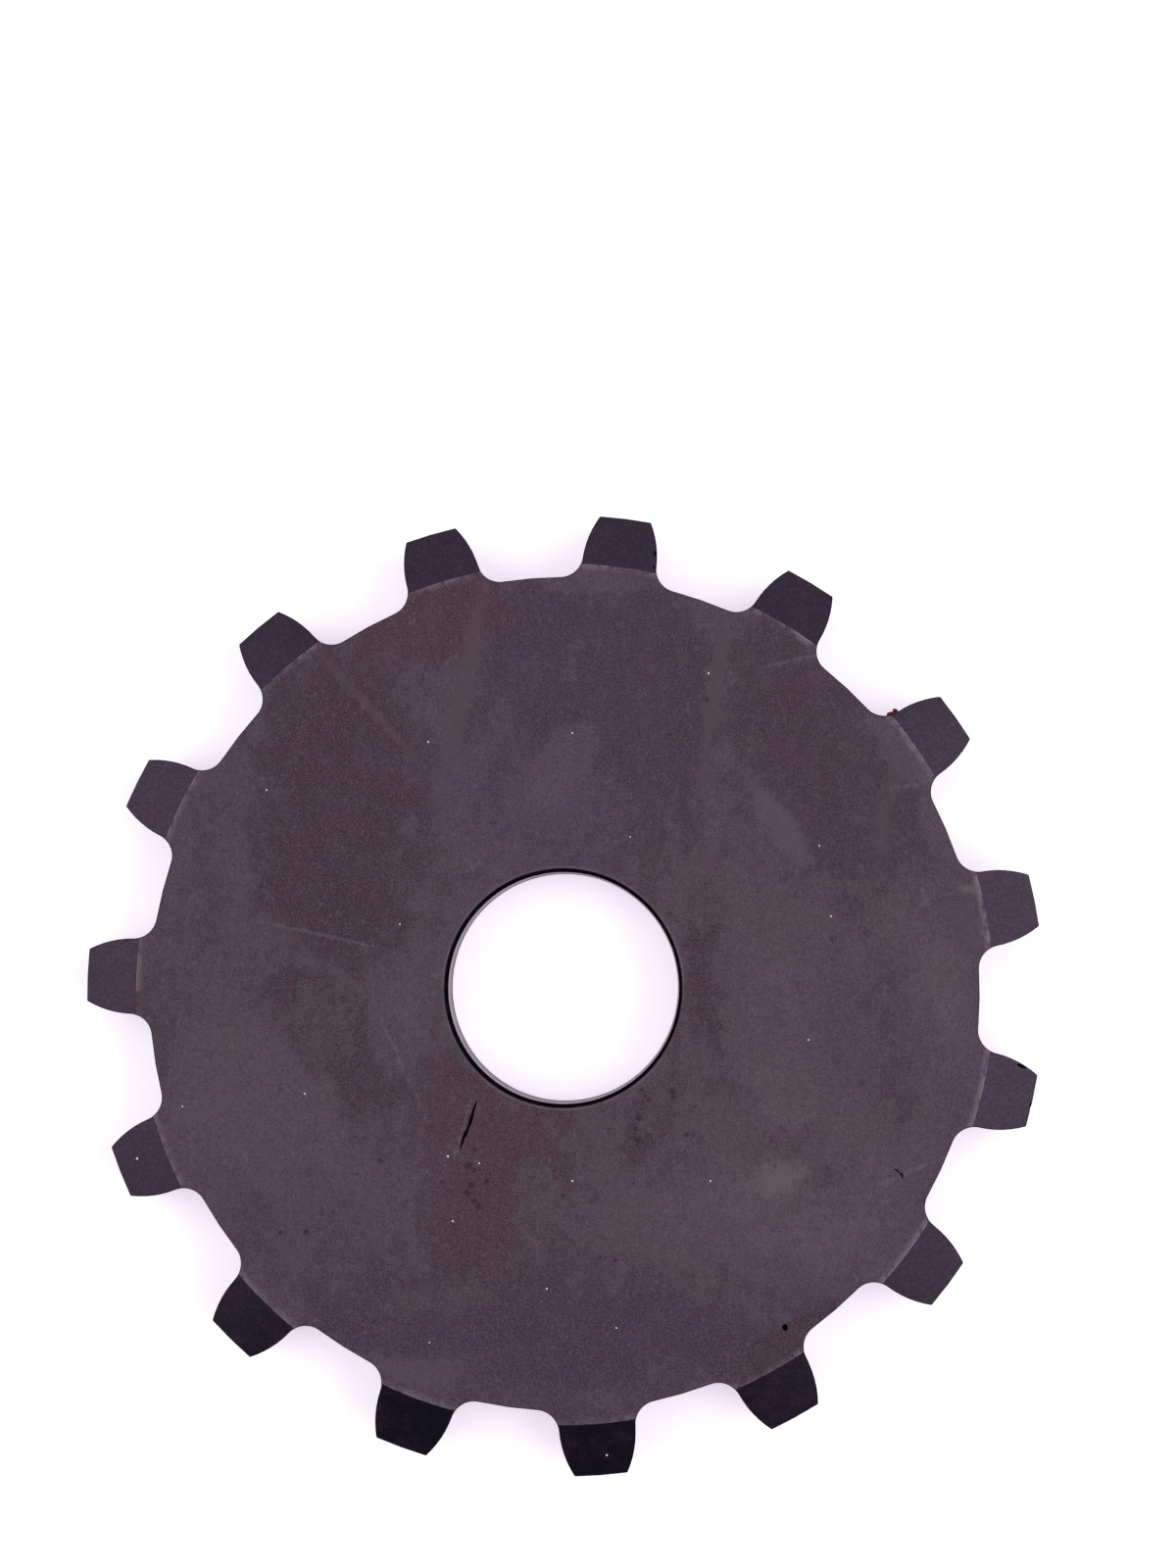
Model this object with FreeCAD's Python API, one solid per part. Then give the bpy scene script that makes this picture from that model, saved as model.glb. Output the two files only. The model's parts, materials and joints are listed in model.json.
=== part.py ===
"""Plate sprocket for a wide-gap chain: one steel plate, turned and then cut to a tooth outline.

Millimetres. The origin is on the bore axis, half way through the plate, with +Z along the axis
and the middle of one tooth on +X. Both faces are alike.
"""
import FreeCAD
import Part
import math
import os

# The plate
plate_thickness = 19.0

# The bore, which slides over a shaft or the spigot of a hub
shaft_diameter = 60.0
shaft_clearance = 0.3
bore_chamfer = 0.7

# The ring of teeth
tooth_count = 15
tip_diameter = 250.0
root_diameter = 215.5

# The outline of one tooth
tip_width = 13.6
tooth_width = 19.6
flank_radius = 27.0
root_fillet_radius = 6.0

# The turned bevel on both sides of the teeth, which leads the chain over them
bevel_width = 13.75
bevel_angle = 15.0
turning_overrun = 2.0

# Worked out from the sizes above
bore_radius = (shaft_diameter + shaft_clearance) / 2
half_thickness = plate_thickness / 2
tip_radius = tip_diameter / 2
root_radius = root_diameter / 2
bevel_start_radius = tip_radius - bevel_width
pitch_angle = 360.0 / tooth_count

centre = FreeCAD.Vector(0, 0, 0)
axis = FreeCAD.Vector(0, 0, 1)


def outer_crossing(middle, reach_from_middle, reach_from_axis):
    """Where a circle about middle crosses a circle about the axis, on the side away from the tooth."""
    span = middle.Length
    along = (reach_from_axis**2 - reach_from_middle**2 + span**2) / (2 * span)
    across = math.sqrt(reach_from_axis**2 - along**2)
    forward = FreeCAD.Vector(middle).normalize()
    sideways = axis.cross(forward)
    return forward * along + sideways * across


def arc(middle, start, end):
    """The shorter arc from start to end about middle."""
    spoke = (start - middle) + (end - middle)
    halfway = middle + spoke.normalize() * (start - middle).Length
    return Part.Arc(start, halfway, end).toShape()


def flank(tip_corner):
    """The edges of one flank, from the tip corner down to the root circle, and where they end."""
    # The flank bulges out to the full tooth width, level with the centre of its arc
    half_width = tooth_width / 2
    flank_across = half_width - flank_radius
    flank_drop = math.sqrt(flank_radius**2 - (tip_corner.y - flank_across)**2)
    flank_centre = FreeCAD.Vector(tip_corner.x - flank_drop, flank_across, 0)

    # A long tooth has a straight neck below its widest point, and the root fillet beside that
    reach_to_fillet = root_radius + root_fillet_radius
    fillet_across = half_width + root_fillet_radius
    fillet_along = math.sqrt(reach_to_fillet**2 - fillet_across**2)
    if fillet_along < flank_centre.x:
        widest = FreeCAD.Vector(flank_centre.x, half_width, 0)
        fillet_start = FreeCAD.Vector(fillet_along, half_width, 0)
        fillet_centre = FreeCAD.Vector(fillet_along, fillet_across, 0)
        edges = [arc(flank_centre, tip_corner, widest), Part.makeLine(widest, fillet_start)]
    else:
        # A short one has its fillet tangent to the flank arc
        fillet_centre = outer_crossing(flank_centre, flank_radius + root_fillet_radius, reach_to_fillet)
        fillet_start = flank_centre + (fillet_centre - flank_centre).normalize() * flank_radius
        edges = [arc(flank_centre, tip_corner, fillet_start)]

    root_start = FreeCAD.Vector(fillet_centre).normalize() * root_radius
    edges.append(arc(fillet_centre, fillet_start, root_start))
    return edges, root_start


def one_pitch():
    """The edges of the tooth on +X, and of the root from there to the next tooth."""
    half_tip = tip_width / 2
    tip_corner = FreeCAD.Vector(math.sqrt(tip_radius**2 - half_tip**2), half_tip, 0)
    other_corner = FreeCAD.Vector(tip_corner.x, -half_tip, 0)
    upper_flank, root_start = flank(tip_corner)
    lower_flank = [edge.mirror(centre, FreeCAD.Vector(0, 1, 0)) for edge in upper_flank]
    mirrored_root = FreeCAD.Vector(root_start.x, -root_start.y, 0)
    root_end = FreeCAD.Rotation(axis, pitch_angle).multVec(mirrored_root)
    return [
        *lower_flank,
        arc(centre, other_corner, tip_corner),
        *upper_flank,
        arc(centre, root_start, root_end),
    ]


def tooth_outline_plate():
    """The tooth outline all round, cut square through the full thickness."""
    edges = []
    for tooth in range(tooth_count):
        for edge in one_pitch():
            edge.rotate(centre, axis, tooth * pitch_angle)
            edges.append(edge)
    outline = Part.Face(Part.Wire(Part.__sortEdges__(edges)))
    outline.translate(FreeCAD.Vector(0, 0, -half_thickness))
    return outline.extrude(axis * plate_thickness)


def turned_blank():
    """The disc as it leaves the lathe: chamfered bore, flat faces and the two bevels.

    The bevels run on past the tips, so that only the outline sets the tip diameter.
    """
    overrun_radius = tip_radius + turning_overrun
    bevel_depth = (overrun_radius - bevel_start_radius) * math.tan(math.radians(bevel_angle))
    upper_half = [
        (bore_radius, half_thickness - bore_chamfer),
        (bore_radius + bore_chamfer, half_thickness),
        (bevel_start_radius, half_thickness),
        (overrun_radius, half_thickness - bevel_depth),
    ]
    lower_half = [(radius, -height) for radius, height in reversed(upper_half)]
    section = [FreeCAD.Vector(radius, 0, height) for radius, height in upper_half + lower_half]
    profile = Part.Face(Part.makePolygon(section + section[:1]))
    return profile.revolve(centre, axis, 360)


def sprocket():
    """The turned blank with everything outside the tooth outline cut away."""
    return turned_blank().common(tooth_outline_plate()).removeSplitter()


def main():
    os.makedirs("parts", exist_ok=True)
    part = sprocket()
    solid = part.Solids[0]
    solid.exportStep("parts/sprocket.step")
    size = solid.BoundBox
    print(f"solids {len(part.Solids)}, valid {solid.isValid()}, volume {solid.Volume / 1000:.1f} cm3")
    print(f"box {size.XLength:.2f} x {size.YLength:.2f} x {size.ZLength:.2f} mm")


main()
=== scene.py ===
"""Studio picture of a steel plate sprocket that lies flat on a white floor.

Metres, in the part's own frame: the origin is in the middle of the bore, half way through the plate,
+Z is up along the bore axis and the middle of one tooth is on +X.
"""
import json
import math
import bmesh
import bpy
from mathutils import Euler, Matrix, Vector


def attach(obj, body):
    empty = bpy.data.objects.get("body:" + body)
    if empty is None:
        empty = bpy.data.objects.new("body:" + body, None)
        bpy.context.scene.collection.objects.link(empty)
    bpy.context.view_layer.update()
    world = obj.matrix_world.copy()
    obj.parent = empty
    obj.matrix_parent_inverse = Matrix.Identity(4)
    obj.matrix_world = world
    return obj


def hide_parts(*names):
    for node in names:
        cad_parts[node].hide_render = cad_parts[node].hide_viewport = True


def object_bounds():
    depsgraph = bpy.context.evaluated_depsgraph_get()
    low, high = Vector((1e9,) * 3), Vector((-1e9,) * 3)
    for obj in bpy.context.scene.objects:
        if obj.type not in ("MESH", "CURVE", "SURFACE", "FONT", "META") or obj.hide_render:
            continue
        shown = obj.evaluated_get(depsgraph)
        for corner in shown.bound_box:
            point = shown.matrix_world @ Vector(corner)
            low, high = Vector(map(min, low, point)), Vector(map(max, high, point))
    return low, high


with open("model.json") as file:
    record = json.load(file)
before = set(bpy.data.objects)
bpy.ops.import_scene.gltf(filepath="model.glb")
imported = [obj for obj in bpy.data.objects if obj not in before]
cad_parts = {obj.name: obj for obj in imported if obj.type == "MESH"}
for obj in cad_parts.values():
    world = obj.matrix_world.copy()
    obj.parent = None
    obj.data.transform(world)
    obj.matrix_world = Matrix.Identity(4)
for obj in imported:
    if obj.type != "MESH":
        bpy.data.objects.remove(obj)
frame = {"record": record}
cad_low, cad_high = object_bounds()

MM = 0.001

# Sizes of the plate, from the frame
bore_mount = next(mount for mount in frame["record"]["mounts"] if mount["name"] == "bore")
bore_radius = bore_mount["dims"]["r_mm"] * MM
top_of_plate = cad_high.z
tip_radius = cad_high.x
bore_chamfer = top_of_plate - bore_mount["dims"]["length_mm"] * MM / 2

# The scale-black mouth of the bore: how much wider it is at the chamfer, and the height at which it ends
mouth_widening = 0.05 * MM
mouth_end = 5.5 * MM

# Sizes of the teeth
tooth_count = 15
pitch_angle = math.tau / tooth_count
root_radius = 107.75 * MM
half_tip = 6.8 * MM
half_tooth = 9.8 * MM
flank_radius = 27.0 * MM
root_fillet = 6.0 * MM
bevel_start = tip_radius - 13.75 * MM
bevel_slope = math.tan(math.radians(15.0))
edge_break = 0.22 * MM

# The blank runs on past the tips, so that only the outline cuts them, and the outline's prism past the faces
turning_overrun = 2 * MM
prism_height = 4 * top_of_plate

# How finely the curves are divided
turned_segments = 180
arc_facet = math.radians(5.0)
weld_distance = 0.01 * MM
coplanar = math.radians(0.1)
sharp_edge = math.radians(30.0)
sharp_shading = math.radians(50.0)
lump_subdivisions = 3
floor_sides = 96

# How straight up or down a face looks, at least, on the flat faces, on the bevels and on the broken edges
flat_face = math.cos(math.radians(5.0))
bevel_face = math.cos(math.radians(20.0))
steep_face = math.cos(math.radians(75.0))

# The photograph and the camera that took it
photo_width = 1200
photo_height = 1600
focal_pixels = 2241.3
sensor_long_side = 36.0
camera_place = Vector((15.47, 11.44, 581.48)) * MM
camera_turn = Euler((math.radians(4.5482), math.radians(1.1281), math.radians(13.5222)))
nearest_seen = 10 * MM


def on_face(across, down, drop=0.0):
    """The point that the photograph shows at this pixel, on the upper face or this far below it."""
    ray = Vector((across - photo_width / 2, photo_height / 2 - down, -focal_pixels))
    ray.rotate(camera_turn)
    reach = (top_of_plate - drop - camera_place.z) / ray.z
    return camera_place + ray * reach


def span_of_pixels(count):
    """The length on the upper face that this many pixels cover near the middle of the photograph."""
    return count * (camera_place.z - top_of_plate) / focal_pixels


def screen(red, green, blue):
    """The linear colour of a screen colour given from 0 to 255."""
    def linear(level):
        level = level / 255
        return level / 12.92 if level <= 0.04045 else ((level + 0.055) / 1.055)**2.4
    return tuple(linear(level) for level in (red, green, blue))


# How strongly each finish reflects, the tint of that, and what it adds to the colour of the skin
skin_specular = 0.15
bevel_specular = 0.31
bore_specular = 0.1
rust_specular = 0.05
wall_specular = 0.03
scale_specular = 0.0
oxide_sheen = (0.96, 0.69, 1.0)
skin_sheen = (0.0195, 0.014, 0.0205)


def matt(red, green, blue):
    """The colour under the sheen of a skin that looks like this screen colour."""
    return tuple(seen - sheen for seen, sheen in zip(screen(red, green, blue), skin_sheen))


# Colours of the skin
skin_lilac = matt(80, 69, 82)
skin_brown = matt(75, 61, 71)
skin_pale = matt(86, 75, 88)
skin_green = matt(82, 75, 79)
skin_pink = matt(84, 66, 77)
skin_dark = matt(60, 47, 59)
skin_light = matt(104, 92, 106)

# Colours of its stains and marks
stain_lilac = matt(79, 66, 80)
stain_purple = matt(69, 57, 72)
stain_blue = matt(75, 67, 81)
stain_brown = matt(68, 51, 61)
stain_dark = matt(63, 47, 57)
stain_red = matt(75, 55, 64)
stain_rub = matt(85, 70, 79)
stain_pale = matt(87, 76, 89)
stain_bright = matt(95, 86, 94)
stain_green = matt(80, 76, 79)
stain_cream = matt(101, 92, 97)
scratch_light = matt(112, 98, 112)
# Painted highlight colour at the bevel crease
crease_highlight_colour = matt(124, 112, 124)
dust_white = matt(225, 220, 225)
pit_dark = screen(32, 18, 26)

# Colours of the other finishes
bevel_dark = screen(11, 13, 23)
bevel_lilac = screen(27, 19, 31)
bevel_brown = screen(42, 31, 37)
bevel_grain = screen(40, 32, 42)
# Painted light and shade on the bore wall: lighter high up, darker lower down, near black as a painted shadow
# at the lower rim; the shade colour also tints the turning rings
bore_painted_light = screen(150, 136, 148)
bore_painted_shade_and_ring_tint = screen(108, 94, 106)
bore_rim_painted_shadow = screen(40, 31, 38)
scale_black = screen(8, 6, 9)
scale_brown = screen(24, 18, 22)
wall_dark = screen(34, 24, 32)
wall_lilac = screen(56, 47, 58)
wall_brown = screen(48, 37, 41)
rust_red = screen(106, 42, 44)
rust_dark = screen(60, 24, 30)
floor_colour = screen(238, 230, 243)

# How deep the relief of each finish is
skin_relief = 0.015 * MM
bevel_relief = 0.006 * MM
bore_relief = 0.006 * MM
scale_relief = 0.01 * MM
wall_relief = 0.02 * MM
rust_relief = 0.05 * MM

# The patterns of the skin, from large to small, and how much longer its flakes are the way it was rolled
cloud_size = 26 * MM
flake_size = 8 * MM
bloom_size = 6 * MM
fleck_size = 2.2 * MM
speck_size = 0.9 * MM
grain_size = 0.45 * MM
rolling_stretch = 1.6

# The patterns of the other finishes
turned_ring = 0.35 * MM
bevel_flake_size = 5 * MM
bevel_grain_size = 0.7 * MM
scale_flake_size = 2 * MM
bored_ring = 0.4 * MM
bore_patch_size = 8 * MM
wall_mark_size = 0.5 * MM
wall_mark_stretch = 0.03
wall_flake_size = 4 * MM
crust_size = 0.5 * MM

# Heights in the bore between which its painted shade goes over to painted light, and to the painted dark
# shadow at its lower rim
bore_painted_light_heights = (-3 * MM, 1 * MM)
bore_rim_painted_shadow_heights = (-5 * MM, -7 * MM)
bore_unevenness = 3 * MM

# Painted highlight bands beside the bevel crease, where that edge catches the light, and a pale ring round
# the bore: how far off the edge they set in and are full
highlight_band = (2.0 * MM, 0.4 * MM)
highlight_band_strength = 0.62
highlight_line = (0.6 * MM, 0.15 * MM)
bore_ring = (0.7 * MM, 0.1 * MM)
bore_ring_strength = 0.6

# The angle, as photo_direction measures it, toward which the painted highlight at the bevel crease is
# strongest, where that rise sets in and is full, and its least and greatest strength
highlight_side = -12
highlight_reach = (0.2 * tip_radius, 0.85 * tip_radius)
least_highlight = 0.7
most_highlight = 1.05

# Floor, room and lamps
floor_glow = (0.52, 0.475, 0.54)
floor_radius = 8.0
room_light = 0.1
lamp_distance = 1.2

# The side of the room that is dark in reflections: its angle in the photograph, and the cosines of the angles
# off it up to which it is dark and past which it is white
dark_side = 90
dark_side_edge = (0.5, 0.1)

# Ovals on the upper face: the tint, its strength, how soft its rim is, how much of the ragged noise it has,
# and lines from one pixel of the photograph to another with a half width, one for each oval
face_stains = [
    (stain_lilac, 0.8, 0.25, 1.0, [
        (215, 800, 205, 1010, 75),
        (800, 920, 830, 1120, 85),
        (930, 870, 960, 1060, 50),
        (580, 1170, 900, 1290, 80),
        (250, 1190, 330, 1280, 50),
    ]),
    (stain_purple, 0.95, 0.2, 0.8, [
        (545, 600, 545, 740, 50),
        (390, 1340, 640, 1365, 58),
        (660, 1320, 730, 1360, 40),
    ]),
    (stain_brown, 1.0, 0.2, 0.9, [
        (350, 740, 350, 960, 85),
        (320, 1010, 370, 1090, 50),
        (720, 900, 730, 1070, 24),
        (700, 1090, 650, 1170, 26),
        (770, 1400, 840, 1350, 25),
    ]),
    (stain_brown, 0.7, 0.2, 0.9, [
        (640, 640, 665, 830, 68),
        (790, 690, 870, 850, 75),
    ]),
    (stain_rub, 0.6, 0.2, 1.0, [
        (448, 890, 440, 1040, 26),
        (960, 1105, 945, 1180, 20),
    ]),
    (stain_red, 0.95, 0.2, 0.9, [
        (400, 650, 490, 610, 45),
        (475, 1140, 505, 1285, 62),
        (555, 1130, 570, 1180, 40),
    ]),
    (stain_blue, 0.7, 0.25, 0.9, [
        (510, 800, 590, 850, 60),
    ]),
    (stain_pale, 0.8, 0.2, 1.2, [
        (690, 1240, 850, 1250, 60),
        (940, 960, 960, 1040, 34),
    ]),
    (stain_pale, 0.65, 0.2, 1.2, [
        (230, 1110, 300, 1190, 65),
        (395, 1000, 400, 1060, 30),
        (770, 1010, 790, 1070, 55),
        (805, 1100, 800, 1140, 34),
        (865, 1130, 880, 1200, 32),
        (560, 800, 580, 770, 30),
        (560, 590, 640, 595, 14),
        (900, 742, 936, 785, 15),
        (950, 830, 962, 860, 12),
    ]),
    (stain_pale, 0.3, 0.2, 1.2, [
        (420, 1190, 390, 1230, 34),
        (430, 1400, 500, 1395, 20),
    ]),
    (stain_lilac, 0.8, 0.2, 1.2, [
        (310, 1220, 340, 1270, 34),
    ]),
    (stain_bright, 0.35, 0.25, 1.2, [
        (760, 1225, 870, 1265, 46),
    ]),
    (stain_bright, 0.6, 0.25, 1.0, [
        (790, 1105, 812, 1140, 28),
        (780, 820, 812, 866, 14),
        (960, 980, 965, 1030, 14),
    ]),
    (stain_dark, 0.5, 0.25, 1.0, [
        (350, 780, 350, 930, 62),
    ]),
]
face_flakes = [
    (stain_green, 0.55, 0.14, 1.4, [
        (715, 905, 830, 950, 42),
        (345, 1010, 310, 1100, 28),
        (550, 1190, 530, 1270, 16),
        (600, 1170, 640, 1240, 34),
        (700, 1120, 790, 1180, 42),
        (785, 1100, 850, 1140, 36),
        (900, 925, 930, 970, 26),
        (640, 1270, 700, 1300, 26),
        (560, 1240, 580, 1230, 16),
        (470, 1060, 510, 1105, 12),
        (225, 1030, 240, 1060, 20),
        (400, 1330, 470, 1320, 18),
    ]),
]
face_marks = [
    (stain_rub, 0.7, 0.6, 0.4, [
        (496, 590, 452, 800, 9),
        (742, 620, 716, 790, 7),
        (325, 665, 430, 780, 5),
    ]),
    (stain_rub, 0.45, 0.6, 0.6, [
        (985, 905, 992, 955, 9),
        (965, 925, 975, 950, 7),
        (915, 770, 925, 790, 8),
        (920, 760, 890, 890, 9),
        (265, 930, 300, 960, 10),
    ]),
    (stain_pale, 0.6, 0.4, 0.5, [
        (768, 800, 818, 872, 12),
        (165, 1150, 250, 1120, 6),
        (390, 1395, 460, 1400, 12),
    ]),
    (stain_green, 0.6, 0.5, 0.6, [
        (468, 1056, 506, 1104, 8),
    ]),
    (stain_cream, 0.7, 0.6, 0.6, [
        (785, 1205, 805, 1200, 16),
        (982, 906, 992, 909, 4),
        (924, 752, 938, 772, 3.5),
    ]),
    (scratch_light, 0.3, 0.5, 1.2, [
        (265, 940, 380, 965, 1.7),
        (385, 1030, 425, 1120, 1.6),
        (940, 905, 948, 925, 1.6),
        (948, 917, 937, 927, 2),
        (455, 677, 465, 670, 1.5),
        (416, 637, 424, 632, 1.4),
        (780, 680, 850, 665, 2),
        (475, 890, 490, 880, 1.6),
        (905, 1205, 950, 1186, 2),
        (480, 1126, 466, 1172, 1.6),
        (912, 804, 936, 800, 2),
        (1000, 948, 1006, 955, 2),
    ]),
]
# Dots on it: the same, but with the pixel of the middle and the radius of each
face_dots = [
    (pit_dark, 0.7, 0.6, 0.8, [
        (478, 1189, 3.5),
        (484, 1194, 2.2),
        (481, 1210, 3.2),
        (477, 1217, 3.0),
        (484, 1226, 2.6),
        (489, 1231, 3.2),
        (484, 1173, 2.6),
        (497, 1205, 2.2),
        (388, 1184, 2.4),
        (452, 1206, 2.2),
        (286, 1258, 2.0),
        (313, 1257, 2.6),
        (651, 1141, 3.4),
        (649, 1152, 2.6),
        (650, 1163, 3.6),
        (655, 1112, 2.4),
        (658, 1118, 2.0),
        (686, 1114, 3.0),
        (687, 1120, 2.4),
        (662, 1122, 2.2),
        (849, 958, 2.0),
        (721, 714, 2.0),
        (647, 1207, 2.0),
        (575, 1220, 2.4),
        (628, 1286, 2.2),
        (612, 1283, 1.8),
        (700, 1158, 2.2),
    ]),
    (dust_white, 1.0, 0.4, 0.0, [
        (437, 757, 0.9),
        (272, 806, 0.8),
        (584, 748, 0.8),
        (723, 687, 0.9),
        (836, 863, 0.8),
        (848, 935, 0.8),
        (408, 943, 0.8),
        (825, 1061, 0.8),
        (643, 854, 0.7),
        (457, 1180, 1.0),
        (489, 1187, 0.8),
        (462, 1246, 0.9),
        (584, 1205, 0.9),
        (725, 1205, 0.8),
        (558, 1315, 0.8),
        (438, 1370, 0.7),
        (311, 1116, 0.8),
        (186, 1129, 0.7),
        (629, 1355, 0.8),
    ]),
]
bevel_dots = [
    (dust_white, 1.0, 0.4, 0.0, [
        (138, 1183, 0.9),
        (619, 1487, 1.1),
        (856, 608, 0.8),
    ]),
]

# Dents: a line from one pixel to another, its half width and depth, and how far below the face it is, in mm
dents = [
    (486, 1124, 475, 1160, 0.38, 0.6, 0),
    (482, 1137, 479, 1148, 0.48, 0.5, 0),
    (475, 1154, 470, 1171, 0.36, 0.4, 0),
    (801, 1354, 801, 1355, 0.75, 1.6, 0),
    (913, 1193, 918, 1196, 0.22, 0.2, 0),
    (919, 1197, 921, 1201, 0.28, 0.25, 0),
    (1038, 1086, 1047, 1090, 0.4, 0.7, 2.4),
    (1052, 1125, 1051, 1134, 0.3, 1.2, 3.4),
    (668, 563, 669, 567, 0.3, 1.2, 1.5),
    (667, 577, 667, 580, 0.25, 1.2, 0.8),
]

# Burrs at the foot of a tooth, given in the same way
burrs = [
    (907, 729, 914, 728, 0.65, 0.6, 0.9),
    (913, 725, 915, 727, 0.6, 0.5, 0.8),
]


# Node trees

class Socket:
    """An output socket. Python's arithmetic on it adds Math nodes to its tree."""

    def __init__(self, tree, output):
        self.tree = tree
        self.output = output

    def math(self, operation, *values):
        inputs = dict(enumerate((self, *values)))
        return self.tree.node("ShaderNodeMath", {"operation": operation}, inputs)

    def vector(self, operation, *values, output=0):
        inputs = dict(enumerate((self, *values)))
        return self.tree.node("ShaderNodeVectorMath", {"operation": operation}, inputs, output)

    def __add__(self, other):
        return self.math("ADD", other)

    __radd__ = __add__

    def __sub__(self, other):
        return self.math("SUBTRACT", other)

    def __rsub__(self, other):
        return self.tree.node("ShaderNodeMath", {"operation": "SUBTRACT"}, {0: other, 1: self})

    def __mul__(self, other):
        return self.math("MULTIPLY", other)

    __rmul__ = __mul__

    def step(self, start, end):
        """0 at start, 1 at end, smooth between them and level beyond them. Either may be the larger."""
        inputs = {"Value": self, "From Min": start, "From Max": end}
        return self.tree.node("ShaderNodeMapRange", {"interpolation_type": "SMOOTHSTEP"}, inputs)


class Tree:
    """A node tree of a material or of a shape, with one method that adds any node."""

    def __init__(self, tree):
        self.tree = tree

    def node(self, kind, settings=None, inputs=None, output=0):
        made = self.tree.nodes.new(kind)
        for name, value in (settings or {}).items():
            setattr(made, name, value)
        for name, value in (inputs or {}).items():
            for single in value if isinstance(value, list) else [value]:
                if isinstance(single, Socket):
                    self.tree.links.new(single.output, made.inputs[name])
                else:
                    made.inputs[name].default_value = single
        return Socket(self, made.outputs[output]) if made.outputs else made


def rgba(colour):
    """What a colour socket takes for a colour, which is either another socket or red, green and blue."""
    return colour if isinstance(colour, Socket) else (*colour, 1.0)


def mix(factor, first, second):
    """A colour between two colours: the first where the factor is 0 and the second where it is 1."""
    inputs = {0: factor, 6: rgba(first), 7: rgba(second)}
    return factor.tree.node("ShaderNodeMix", {"data_type": "RGBA"}, inputs, 2)


def between(share, low, high):
    """The value that is low where the share is 0 and high where it is 1."""
    return share * (high - low) + low


def sway(pattern, reach):
    """The pattern as a sway about 0, so far to both sides together."""
    return (pattern - 0.5) * reach


def tinted(colour, tint, pattern, start, end, strength):
    """The colour with a tint over it that sets in where the pattern goes from start to end, up or down."""
    return mix(pattern.step(start, end) * strength, colour, tint)


# Shape of the plate

def toward(start, end, distance):
    """The point this far from start on the line to end."""
    return start + (end - start).normalized() * distance


def arc_about(middle, start, end):
    """The shorter arc about middle: its start, a point half way, its end, and how many points it gets."""
    radius = (start - middle).length
    sweep = (start - middle).angle(end - middle)
    points = 1 + 2 * math.ceil(sweep / arc_facet / 2)
    return start, toward(middle, (start + end) / 2, radius), end, points


def tooth_arcs():
    """The arcs of the tooth on +X: tip, flank, root fillet and root."""
    centre = Vector((0, 0, 0))
    corner = Vector((math.sqrt(tip_radius**2 - half_tip**2), half_tip, 0))
    flank_across = half_tooth - flank_radius
    flank_drop = math.sqrt(flank_radius**2 - (half_tip - flank_across)**2)
    flank_centre = Vector((corner.x - flank_drop, flank_across, 0))

    # The fillet's centre is one fillet radius off the flank arc and off the root circle
    reach_flank = flank_radius + root_fillet
    reach_root = root_radius + root_fillet
    span = flank_centre.length
    along = (reach_root**2 - reach_flank**2 + span**2) / (2 * span)
    across = math.sqrt(reach_root**2 - along**2)
    forward = flank_centre.normalized()
    fillet_centre = forward * along + Vector((-forward.y, forward.x, 0)) * across

    flank_foot = toward(flank_centre, fillet_centre, flank_radius)
    root_start = fillet_centre.normalized() * root_radius
    root_end = Vector((root_start.x, -root_start.y, 0))
    root_end.rotate(Euler((0, 0, pitch_angle)))
    return {
        "Tip": arc_about(centre, Vector((corner.x, -half_tip, 0)), corner),
        "Flank": arc_about(flank_centre, corner, flank_foot),
        "Fillet": arc_about(fillet_centre, flank_foot, root_start),
        "Root": arc_about(centre, root_start, root_end),
    }


def turned_blank():
    """The disc as it leaves the lathe: bored, chamfered and bevelled, with no teeth yet."""
    beyond_tip = tip_radius + turning_overrun
    upper_half = [
        (bore_radius, top_of_plate - bore_chamfer),
        (bore_radius + bore_chamfer, top_of_plate),
        (bevel_start, top_of_plate),
        (beyond_tip, top_of_plate - (beyond_tip - bevel_start) * bevel_slope),
    ]
    mouth = [(bore_radius, mouth_end), (bore_radius + mouth_widening, top_of_plate - bore_chamfer)]
    section = mouth + upper_half[1:] + [(radius, -height) for radius, height in reversed(upper_half)]
    corners = len(section)
    points = []
    faces = []
    for segment in range(turned_segments):
        angle = math.tau * segment / turned_segments
        points += [(radius * math.cos(angle), radius * math.sin(angle), height) for radius, height in section]
        here = segment * corners
        there = (segment + 1) % turned_segments * corners
        for corner in range(corners):
            after = (corner + 1) % corners
            faces.append((here + corner, there + corner, there + after, here + after))
    mesh = bpy.data.meshes.new("blank")
    mesh.from_pydata(points, [], faces)
    return mesh


def form_sizes(finish):
    """The named inputs of the form's tree, with the kind and value of each."""
    sizes = {
        "Teeth": ("Int", tooth_count),
        "Pitch Angle": ("Float", pitch_angle),
        "Prism Height": ("Float", prism_height),
        "Finish": ("Material", finish),
    }
    for name, (start, halfway, end, points) in tooth_arcs().items():
        sizes[f"{name} Start"] = ("Vector", start)
        sizes[f"{name} Middle"] = ("Vector", halfway)
        sizes[f"{name} End"] = ("Vector", end)
        sizes[f"{name} Points"] = ("Int", points)
    return sizes


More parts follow.
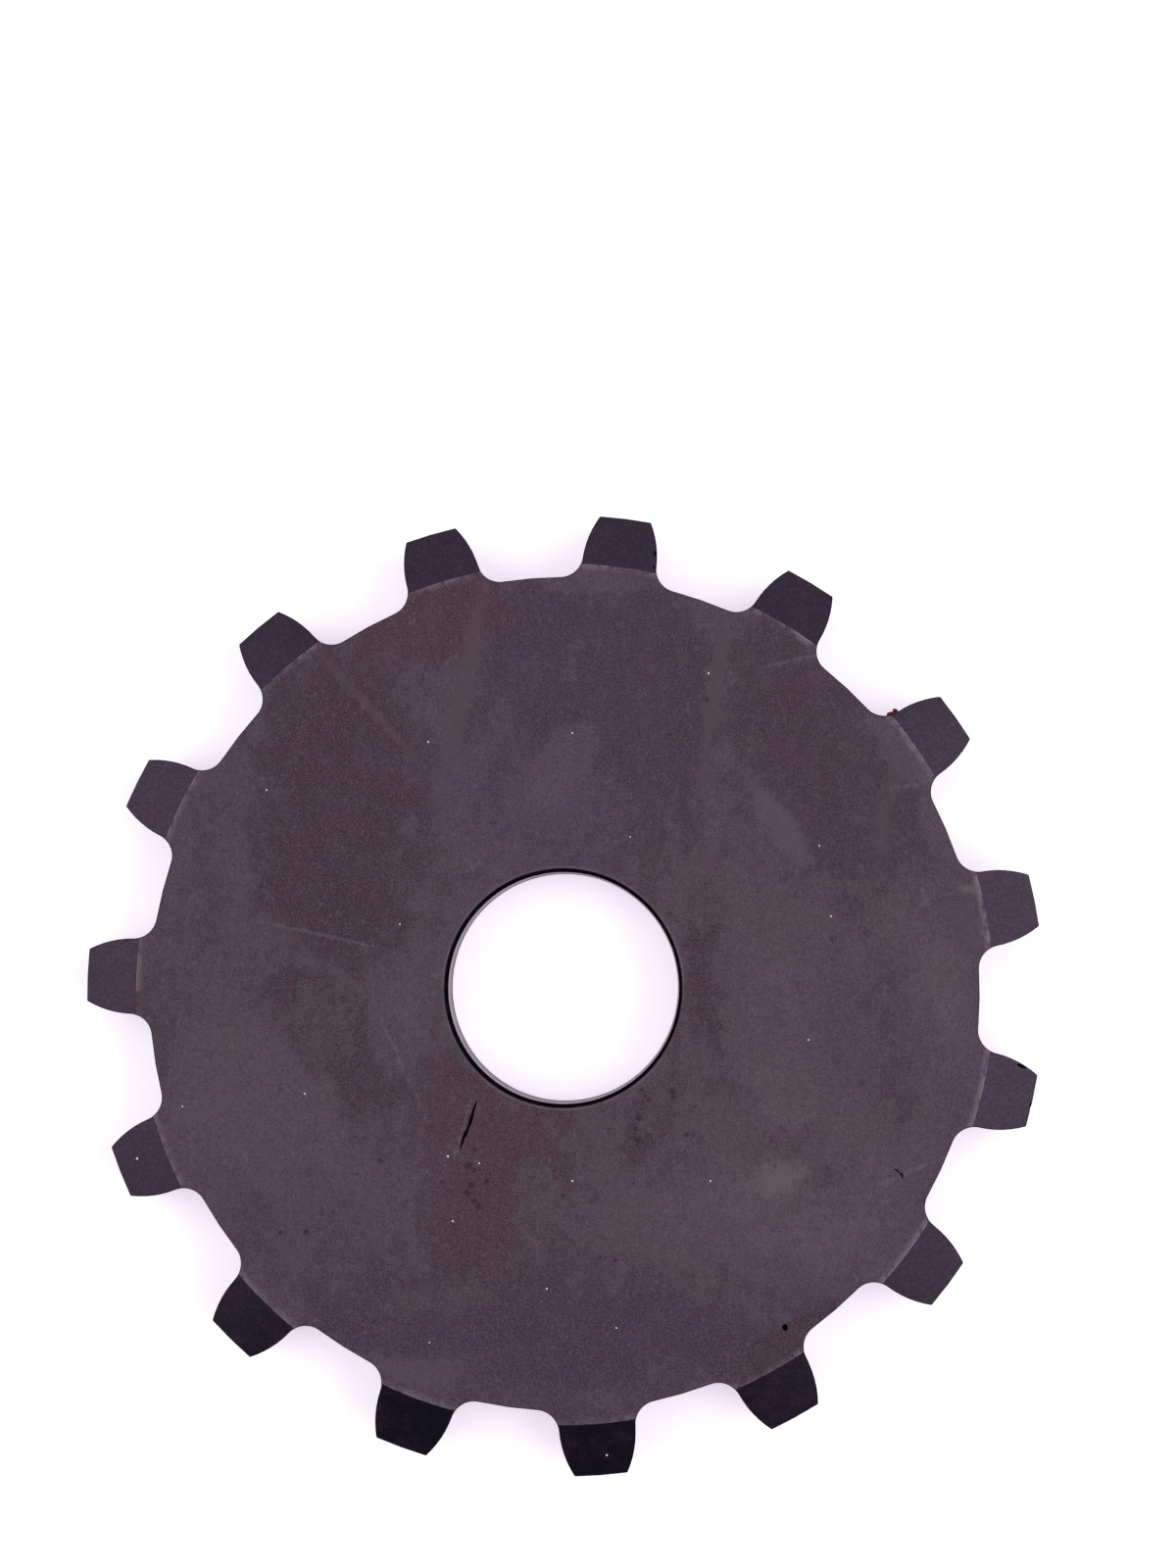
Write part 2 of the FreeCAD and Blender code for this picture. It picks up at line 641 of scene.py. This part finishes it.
def form_tree(sizes):
    """Geometry nodes that keep of the object's own blank what lies inside the tooth outline."""
    group = bpy.data.node_groups.new("sprocket_form", "GeometryNodeTree")
    group.interface.new_socket("Geometry", in_out="OUTPUT", socket_type="NodeSocketGeometry")
    group.interface.new_socket("Blank", in_out="INPUT", socket_type="NodeSocketGeometry")
    for name, (kind, _) in sizes.items():
        group.interface.new_socket(name, in_out="INPUT", socket_type="NodeSocket" + kind)
    tree = Tree(group)
    entry = group.nodes.new("NodeGroupInput")

    def given(name):
        return Socket(tree, entry.outputs[name])

    def arc(name):
        inputs = {place: given(f"{name} {place}") for place in ("Start", "Middle", "End")}
        inputs["Resolution"] = given(f"{name} Points")
        return tree.node("GeometryNodeCurveArc", {"mode": "POINTS"}, inputs)

    def join(*parts):
        return tree.node("GeometryNodeJoinGeometry", None, {"Geometry": list(parts)})

    def weld(shape):
        return tree.node("GeometryNodeMergeByDistance", None, {"Geometry": shape, "Distance": weld_distance})

    # One pitch of the outline, whose far flank is the mirror image of the near one
    near_flank = join(arc("Flank"), arc("Fillet"))
    far_flank = tree.node("GeometryNodeTransform", None, {"Geometry": near_flank, "Scale": (1, -1, 1)})
    pitch = join(arc("Tip"), near_flank, far_flank, arc("Root"))

    # The pitch once for each tooth, welded to one closed line and filled
    turn = tree.node("ShaderNodeCombineXYZ", None,
                     {"Z": tree.node("GeometryNodeInputIndex") * given("Pitch Angle")})
    places = tree.node("GeometryNodePoints", None, {"Count": given("Teeth")})
    teeth = tree.node("GeometryNodeInstanceOnPoints", None,
                      {"Points": places, "Instance": pitch, "Rotation": turn})
    line = tree.node("GeometryNodeRealizeInstances", None, {"Geometry": teeth})
    welded = weld(tree.node("GeometryNodeCurveToMesh", None, {"Curve": line}))
    closed = tree.node("GeometryNodeMeshToCurve", None, {"Mesh": welded})
    outline = tree.node("GeometryNodeFillCurve", {"mode": "NGONS"}, {"Curve": closed})

    # A closed prism of the outline, taller than the plate
    low = tree.node("ShaderNodeCombineXYZ", None, {"Z": given("Prism Height") * -0.5})
    rise = tree.node("ShaderNodeCombineXYZ", None, {"Z": given("Prism Height")})
    bottom = tree.node("GeometryNodeTransform", None, {"Geometry": outline, "Translation": low})
    walls = tree.node("GeometryNodeExtrudeMesh", {"mode": "FACES"},
                      {"Mesh": bottom, "Offset": rise, "Offset Scale": 1.0, "Individual": False})
    underside = tree.node("GeometryNodeFlipFaces", None, {"Mesh": bottom})
    prism = weld(join(walls, underside))

    kept = tree.node("GeometryNodeMeshBoolean", {"operation": "INTERSECT", "solver": "EXACT"},
                     {"Mesh 2": [given("Blank"), prism]})
    whole = tree.node("GeometryNodeRealizeInstances", None, {"Geometry": kept})
    finished = tree.node("GeometryNodeSetMaterial", None, {"Geometry": whole, "Material": given("Finish")})
    tree.node("NodeGroupOutput", None, {"Geometry": finished})
    return group


def plain_mesh(thing):
    """Works the object's modifiers out into its mesh and takes them off."""
    graph = bpy.context.evaluated_depsgraph_get()
    mesh = bpy.data.meshes.new_from_object(
        thing.evaluated_get(graph), preserve_all_data_layers=True, depsgraph=graph)
    mesh.name = thing.name
    thing.modifiers.clear()
    thing.data = mesh


def toothed_plate(finish):
    """The plate with its teeth, before its edges are broken."""
    plate = bpy.data.objects.new("sprocket_plate", turned_blank())
    bpy.context.scene.collection.objects.link(plate)
    sizes = form_sizes(finish)
    modifier = plate.modifiers.new("form", "NODES")
    modifier.node_group = form_tree(sizes)
    for socket in modifier.node_group.interface.items_tree:
        if socket.name in sizes:
            modifier[socket.identifier] = sizes[socket.name][1]
    plain_mesh(plate)
    return plate


def break_edges(plate):
    """Takes the sharpness off every edge that turns more than sharp_edge, between the faces, the bevels, the
    bore and the tooth walls.
    """
    shape = bmesh.new()
    shape.from_mesh(plate.data)
    bmesh.ops.remove_doubles(shape, verts=shape.verts, dist=weld_distance)
    bmesh.ops.dissolve_limit(shape, angle_limit=coplanar, verts=shape.verts, edges=shape.edges)
    shape.to_mesh(plate.data)
    shape.free()
    rounding = plate.modifiers.new("edge_break", "BEVEL")
    rounding.width = edge_break
    rounding.segments = 2
    rounding.limit_method = "ANGLE"
    rounding.angle_limit = sharp_edge
    rounding.use_clamp_overlap = False
    plain_mesh(plate)


def mark_plate(plate, operation, lumps, finish):
    """Takes long rounded lumps out of the plate, or adds them to it, with their own finish."""
    shape = bmesh.new()
    for across, down, end_across, end_down, half_width, depth, drop in lumps:
        start = on_face(across, down, drop * MM)
        end = on_face(end_across, end_down, drop * MM)
        run = end - start
        place = (
            Matrix.Translation((start + end) / 2)
            @ Matrix.Rotation(math.atan2(run.y, run.x), 4, "Z")
            @ Matrix.Diagonal((run.length / 2 + half_width * MM, half_width * MM, depth * MM, 1))
        )
        bmesh.ops.create_icosphere(shape, subdivisions=lump_subdivisions, radius=1, matrix=place)
    mesh = bpy.data.meshes.new("lumps")
    shape.to_mesh(mesh)
    shape.free()
    mesh.materials.append(finish)
    tool = bpy.data.objects.new("lumps", mesh)
    bpy.context.scene.collection.objects.link(tool)
    change = plate.modifiers.new("lumps", "BOOLEAN")
    change.operation = operation
    change.solver = "EXACT"
    change.use_self = True
    change.material_mode = "TRANSFER"
    change.object = tool
    plain_mesh(plate)
    bpy.data.objects.remove(tool)


def smooth_plate(plate):
    """Rounded surfaces shade smoothly. Each finish ends in a crisp edge, which keeps the large faces flat."""
    mesh = plate.data
    mesh.shade_smooth()
    mesh.set_sharp_from_angle(angle=sharp_shading)
    shape = bmesh.new()
    shape.from_mesh(mesh)
    for edge in shape.edges:
        finishes = {face.material_index for face in edge.link_faces}
        edge.smooth = edge.smooth and len(finishes) == 1
    shape.to_mesh(mesh)
    shape.free()
    weighting = plate.modifiers.new("weighted_normals", "WEIGHTED_NORMAL")
    weighting.keep_sharp = True
    weighting.weight = 100
    plain_mesh(plate)


# Finishes

def new_finish(name):
    """An empty material, its tree and the Object coordinates in it."""
    finish = bpy.data.materials.new(name)
    finish.use_nodes = True
    finish.node_tree.nodes.clear()
    tree = Tree(finish.node_tree)
    return finish, tree, tree.node("ShaderNodeTexCoord", output="Object")


def noise(place, lump, detail=2.0, roughness=0.5):
    """Noise from 0 to 1, mostly near a half, with lumps of about this size."""
    inputs = {"Vector": place, "Scale": 1 / lump, "Detail": detail, "Roughness": roughness}
    return place.tree.node("ShaderNodeTexNoise", None, inputs)


def turning_marks(distance, width):
    """Noise along one distance only, with rings of about this width."""
    inputs = {"W": distance, "Scale": 1 / width, "Detail": 3.0}
    return distance.tree.node("ShaderNodeTexNoise", {"noise_dimensions": "1D"}, inputs)


def stretched(place, height_scale):
    """The place with its height scaled, so that a pattern gets longer that way, or all one height at 0."""
    return place.tree.node("ShaderNodeMapping", None, {"Vector": place, "Scale": (1, 1, height_scale)})


def height_over_middle(place):
    """How far a place lies above the middle of the plate."""
    return place.tree.node("ShaderNodeSeparateXYZ", None, {0: place}, "Z")


def finish_with(tree, colour, roughness, height, relief, specular, metallic=0.0):
    """The shader of a finish: its colour, roughness and relief, where relief is in metres."""
    bump = tree.node("ShaderNodeBump", None, {"Height": height, "Distance": relief, "Strength": 1.0})
    shader = tree.node("ShaderNodeBsdfPrincipled", None, {
        "Base Color": colour,
        "Roughness": roughness,
        "Metallic": metallic,
        "Normal": bump,
        "Specular IOR Level": specular,
        "Specular Tint": rgba(oxide_sheen),
    })
    tree.node("ShaderNodeOutputMaterial", None, {"Surface": shader})


def oval_depth(place, ovals):
    """0 in the middle of the nearest oval, 1 on its rim, more outside it and 2 from twice its size on."""
    nearest = None
    for across, down, end_across, end_down, half_width in ovals:
        start = on_face(across, down)
        end = on_face(end_across, end_down)
        run = end - start
        middle = (start + end) / 2
        half = span_of_pixels(half_width)
        oval = place.tree.node("ShaderNodeMapping", {"vector_type": "TEXTURE"}, {
            "Vector": place,
            "Location": (middle.x, middle.y, 0),
            "Rotation": (0, 0, math.atan2(run.y, run.x)),
            "Scale": (run.length + 2 * half, 2 * half, 1),
        })
        nearness = place.tree.node("ShaderNodeTexGradient", {"gradient_type": "SPHERICAL"}, {0: oval}, 1)
        nearest = nearness if nearest is None else nearest.math("MAXIMUM", nearness)
    return (1 - nearest) * 2


def dot_depth(place, dots):
    """0 in the middle of the nearest dot, 1 on its rim and more outside it."""
    nearest = None
    for across, down, radius in dots:
        middle = on_face(across, down)
        off = place.vector("DISTANCE", (middle.x, middle.y, 0), output="Value")
        depth = off * (1 / span_of_pixels(radius))
        nearest = depth if nearest is None else nearest.math("MINIMUM", depth)
    return nearest


def stained(colour, flat, stains, ragged, upper, depth_in=oval_depth):
    """The colour with ragged ovals, or dots, of other tints laid over it on the upper side."""
    for tint, strength, softness, ragged_share, places in stains:
        depth = depth_in(flat, places) + ragged * ragged_share
        covered = depth.step(1 + softness, 1 - softness) * upper * strength
        colour = mix(covered, colour, tint)
    return colour


def upper_side(place):
    """1 on the upper half of the plate and 0 on the lower."""
    return height_over_middle(place).step(0.0, top_of_plate / 2)


def painted_crease_highlight(off_axis, flat, patches, chips):
    """How much painted highlight lies pale beside the edge at which the bevels start, where that edge catches
    the light, most on the right as the camera sees it.
    """
    inside = bevel_start - off_axis
    band = inside.step(*highlight_band) * chips.step(0.36, 0.56) * highlight_band_strength
    line = inside.step(*highlight_line) * chips.step(0.36, 0.52)
    # The painted highlight grows toward one side, as light from that side would make it
    rightward = flat.vector("DOT_PRODUCT", photo_direction(highlight_side), output="Value")
    lit_share = between(rightward.step(*highlight_reach), least_highlight, most_highlight)
    return band.math("MAXIMUM", line) * between(patches.step(0.4, 0.56), 0.3, 1.0) * lit_share


def rolled_skin():
    """Oxidised mill skin of the two faces, stained and rub-marked on the upper one as the photograph shows,
    with a painted highlight at the bevel crease.
    """
    finish, tree, place = new_finish("rolled_skin")
    flat = stretched(place, 0.0)
    off_axis = flat.vector("LENGTH", output="Value")
    upper = upper_side(place)
    rolled = tree.node("ShaderNodeMapping", {"vector_type": "TEXTURE"}, {
        "Vector": place,
        "Rotation": (0, 0, camera_turn.z),
        "Scale": (1, rolling_stretch, 1),
    })
    cloud = noise(place, cloud_size, detail=7.0, roughness=0.7)
    flake = noise(rolled, flake_size, detail=5.0, roughness=0.7)
    bloom = noise(rolled, bloom_size, detail=5.0, roughness=0.74)
    fleck = noise(rolled, fleck_size, detail=3.0, roughness=0.7)
    speck = noise(rolled, speck_size, detail=2.0, roughness=0.65)
    grain = noise(place, grain_size, detail=1.0)

    # Clouds of the ground tones, and the large stains
    colour = mix(cloud.step(0.43, 0.58), skin_lilac, skin_brown)
    colour = tinted(colour, skin_pale, flake, start=0.45, end=0.6, strength=0.4)
    colour = stained(colour, flat, face_stains, sway(cloud, 2.4) + sway(flake, 1.4), upper)

    # Flakes
    colour = tinted(colour, skin_pale, flake, start=0.5, end=0.62, strength=0.2)
    colour = tinted(colour, skin_dark, flake, start=0.48, end=0.36, strength=0.25)
    colour = tinted(colour, skin_green, bloom, start=0.52, end=0.58, strength=0.24)
    colour = tinted(colour, skin_pink, bloom, start=0.48, end=0.42, strength=0.28)
    colour = stained(colour, flat, face_flakes, sway(bloom, 4) + sway(flake, 3), upper)

    # Pits, which lie closer together in places, and grain
    pitted = between(bloom.step(0.4, 0.6), 0.4, 1.0)
    colour = tinted(colour, skin_dark, fleck, start=0.54, end=0.68, strength=pitted * 0.32)
    colour = tinted(colour, skin_dark, speck, start=0.48, end=0.74, strength=pitted * 0.6)
    colour = tinted(colour, skin_light, speck, start=0.45, end=0.3, strength=0.25)
    colour = tinted(colour, skin_light, grain, start=0.4, end=0.65, strength=0.3)
    colour = tinted(colour, skin_dark, grain, start=0.5, end=0.35, strength=0.36)

    # Scratches, pits and dust where the photograph has them
    broken = sway(fleck, 2) + sway(speck, 3)
    colour = stained(colour, flat, face_marks, broken, upper)
    colour = stained(colour, flat, face_dots, broken, upper, dot_depth)

    # Painted highlight at the bevel crease outside, and the pale ring round the bore
    colour = mix(painted_crease_highlight(off_axis, flat, flake, fleck), colour, crease_highlight_colour)
    off_bore = off_axis - (bore_radius + bore_chamfer + edge_break)
    colour = tinted(colour, scratch_light, flake, start=0.3, end=0.6,
                    strength=off_bore.step(*bore_ring) * bore_ring_strength)

    roughness = 0.5 + sway(flake, 0.3) + sway(cloud, 0.2)
    height = grain * 0.3 + flake * 0.7 - speck * 0.5
    finish_with(tree, colour, roughness, height, skin_relief, skin_specular)
    return finish


def turned_bevel():
    """The bevels: turned, darker than the skin and a little smoother, with faint rings round the axis."""
    finish, tree, place = new_finish("turned_bevel")
    flat = stretched(place, 0.0)
    rings = turning_marks(flat.vector("LENGTH", output="Value"), turned_ring)
    flakes = noise(place, bevel_flake_size, detail=8.0, roughness=0.7)
    grain = noise(place, bevel_grain_size, detail=2.0, roughness=0.7)
    colour = mix(flakes.step(0.44, 0.58), bevel_dark, bevel_lilac)
    colour = tinted(colour, bevel_brown, flakes, start=0.5, end=0.62, strength=0.2)
    colour = tinted(colour, bevel_grain, grain, start=0.3, end=0.7, strength=0.3)
    colour = stained(colour, flat, bevel_dots, flakes, upper_side(place), dot_depth)
    roughness = 0.34 + sway(flakes, 0.3)
    height = rings * 0.6 + grain * 0.4
    bare_metal = grain.step(0.4, 0.58) * 0.44 + flakes.step(0.4, 0.6) * 0.15
    finish_with(tree, colour, roughness, height, bevel_relief, bevel_specular, bare_metal)
    return finish


def black_scale():
    """The chamfers and the upper mouth of the bore, all broken edges and the dents: matt, nearly black."""
    finish, tree, place = new_finish("black_scale")
    flakes = noise(place, scale_flake_size, detail=4.0, roughness=0.6)
    colour = mix(flakes.step(0.4, 0.7), scale_black, scale_brown)
    finish_with(tree, colour, between(flakes, 0.5, 0.7), flakes, scale_relief, scale_specular)
    return finish


def bored_wall():
    """The wall of the bore: finely turned, with painted light below its black mouth, painted shade lower down
    and a painted dark shadow at its lower rim.
    """
    finish, tree, place = new_finish("bored_wall")
    height = height_over_middle(place)
    rings = turning_marks(height, bored_ring)
    patches = noise(place, bore_patch_size, detail=4.0, roughness=0.6)
    uneven = height + sway(patches, bore_unevenness)
    # Painted light high on the bore wall, painted shade lower down and a painted shadow at the lower rim
    colour = mix(uneven.step(*bore_painted_light_heights), bore_painted_shade_and_ring_tint, bore_painted_light)
    colour = tinted(colour, bore_painted_shade_and_ring_tint, rings, start=0.4, end=0.7, strength=0.3)
    colour = mix(uneven.step(*bore_rim_painted_shadow_heights), colour, bore_rim_painted_shadow)
    roughness = 0.4 + sway(patches, 0.3)
    finish_with(tree, colour, roughness, rings, bore_relief, bore_specular)
    return finish


def cut_wall():
    """The walls of the teeth: cut straight through, dark, with fine marks along the plate's thickness."""
    finish, tree, place = new_finish("cut_wall")
    marks = noise(stretched(place, wall_mark_stretch), wall_mark_size, detail=3.0, roughness=0.6)
    flakes = noise(place, wall_flake_size, detail=5.0, roughness=0.6)
    colour = mix(marks.step(0.35, 0.65), wall_dark, wall_lilac)
    colour = tinted(colour, wall_brown, flakes, start=0.5, end=0.7, strength=0.5)
    roughness = 0.5 + sway(flakes, 0.25)
    finish_with(tree, colour, roughness, marks, wall_relief, wall_specular)
    return finish


def rust_burr():
    """Red rust on the burrs."""
    finish, tree, place = new_finish("rust_burr")
    crust = noise(place, crust_size, detail=4.0, roughness=0.7)
    colour = mix(crust.step(0.35, 0.65), rust_dark, rust_red)
    finish_with(tree, colour, between(crust, 0.75, 0.85), crust, rust_relief, rust_specular)
    return finish


def finish_of(face):
    """Which of the plate's finishes a face has, by where it is and which way it looks."""
    if abs(face.normal.z) > flat_face:
        return "rolled_skin" if abs(face.center.z) > top_of_plate - edge_break / 2 else "cut_wall"
    if math.hypot(face.center.x, face.center.y) < bore_radius + bore_chamfer:
        turned = abs(face.normal.z) < steep_face and face.center.z < mouth_end
        return "bored_wall" if turned else "black_scale"
    if abs(face.normal.z) > bevel_face:
        return "turned_bevel"
    return "cut_wall" if abs(face.normal.z) < steep_face else "black_scale"


def dress(plate, finishes):
    """Gives every face its finish, apart from those of the dents and burrs, which have theirs."""
    mesh = plate.data
    for finish in finishes:
        if finish.name not in mesh.materials:
            mesh.materials.append(finish)
    order = [finish.name for finish in mesh.materials]
    for face in mesh.polygons:
        if face.material_index == 0:
            face.material_index = order.index(finish_of(face))


# Floor, lamps and camera

def white_floor():
    """A wide pale disc under the plate. The camera and reflections see it white, and shadows stay on it."""
    shape = bmesh.new()
    bmesh.ops.create_circle(
        shape, cap_ends=True, segments=floor_sides, radius=floor_radius,
        matrix=Matrix.Translation((0, 0, cad_low.z)))
    mesh = bpy.data.meshes.new("floor")
    shape.to_mesh(mesh)
    shape.free()
    floor = bpy.data.objects.new("floor", mesh)
    bpy.context.scene.collection.objects.link(floor)

    finish, tree, _ = new_finish("floor_paper")
    paper = tree.node("ShaderNodeBsdfDiffuse", None, {"Color": rgba(floor_colour)})
    camera, glossy, through = seen_directly(tree)
    seen = camera.math("MAXIMUM", glossy).math("MAXIMUM", through)
    glow = tree.node("ShaderNodeEmission", None, {"Color": rgba(floor_glow), "Strength": seen})
    both = tree.node("ShaderNodeAddShader", None, {0: paper, 1: glow})
    tree.node("ShaderNodeOutputMaterial", None, {"Surface": both})
    mesh.materials.append(finish)


def seen_directly(tree):
    """Whether a ray is what the camera sees itself, sees in a reflection or sees through glass."""
    path = tree.node("ShaderNodeLightPath").output.node
    names = ("Is Camera Ray", "Is Glossy Ray", "Is Transmission Ray")
    return [Socket(tree, path.outputs[name]) for name in names]


def surroundings():
    """A dim even room that the camera and reflections see white, but for one side, dark in reflections."""
    world = bpy.data.worlds.new("room")
    world.use_nodes = True
    world.node_tree.nodes.clear()
    tree = Tree(world.node_tree)
    camera, glossy, through = seen_directly(tree)
    direction = tree.node("ShaderNodeTexCoord", output="Generated")
    toward_dark = direction.vector("DOT_PRODUCT", photo_direction(dark_side), output="Value")
    white = camera.math("MAXIMUM", through).math("MAXIMUM", glossy * toward_dark.step(*dark_side_edge))
    strength = white.math("MAXIMUM", (1 - glossy) * room_light)
    shine = tree.node("ShaderNodeBackground", None, {"Color": (1, 1, 1, 1), "Strength": strength})
    tree.node("ShaderNodeOutputWorld", None, {"Surface": shine})
    bpy.context.scene.world = world


def photo_direction(angle):
    """The level direction at this angle in the photograph, from its right edge toward its lower one."""
    around = camera_turn.z - math.radians(angle)
    return Vector((math.cos(around), math.sin(around), 0))


def softbox(name, lean, toward_angle, width, height, brightness):
    """A soft lamp that leans this many degrees from overhead, toward an angle in the photograph.

    Its brightness is in watts for each square metre of the lamp.
    """
    out = math.radians(lean)
    from_plate = photo_direction(toward_angle) * math.sin(out) + Vector((0, 0, math.cos(out)))
    light = bpy.data.lights.new(name, "AREA")
    light.shape = "RECTANGLE"
    light.size = width
    light.size_y = height
    light.energy = width * height * brightness
    lamp = bpy.data.objects.new(name, light)
    lamp.location = from_plate * lamp_distance
    lamp.rotation_euler = from_plate.to_track_quat("Z", "Y").to_euler()
    lamp.visible_camera = False
    bpy.context.scene.collection.objects.link(lamp)


def photo_camera():
    """The camera that took the photograph."""
    lens = bpy.data.cameras.new("photo_camera")
    lens.sensor_width = sensor_long_side
    lens.lens = focal_pixels * sensor_long_side / photo_height
    lens.clip_start = nearest_seen
    camera = bpy.data.objects.new("photo_camera", lens)
    camera.location = camera_place
    camera.rotation_euler = camera_turn
    bpy.context.scene.collection.objects.link(camera)
    bpy.context.scene.camera = camera


# Making

skin = rolled_skin()
plate = toothed_plate(skin)
break_edges(plate)
scale = black_scale()
mark_plate(plate, "DIFFERENCE", dents, scale)
mark_plate(plate, "UNION", burrs, rust_burr())
dress(plate, [turned_bevel(), bored_wall(), scale, cut_wall()])
smooth_plate(plate)
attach(plate, "root")
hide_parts("sprocket")

white_floor()
surroundings()
softbox("overhead_lamp", lean=0, toward_angle=0, width=0.95, height=0.95, brightness=2.4)
softbox("right_lamp", lean=42, toward_angle=5, width=1.45, height=0.75, brightness=9.2)
softbox("left_lamp", lean=42, toward_angle=183, width=1.25, height=0.75, brightness=7.2)
softbox("far_lamp", lean=42, toward_angle=270, width=0.9, height=0.75, brightness=2.2)
photo_camera()

bpy.context.scene.view_settings.view_transform = "Standard"
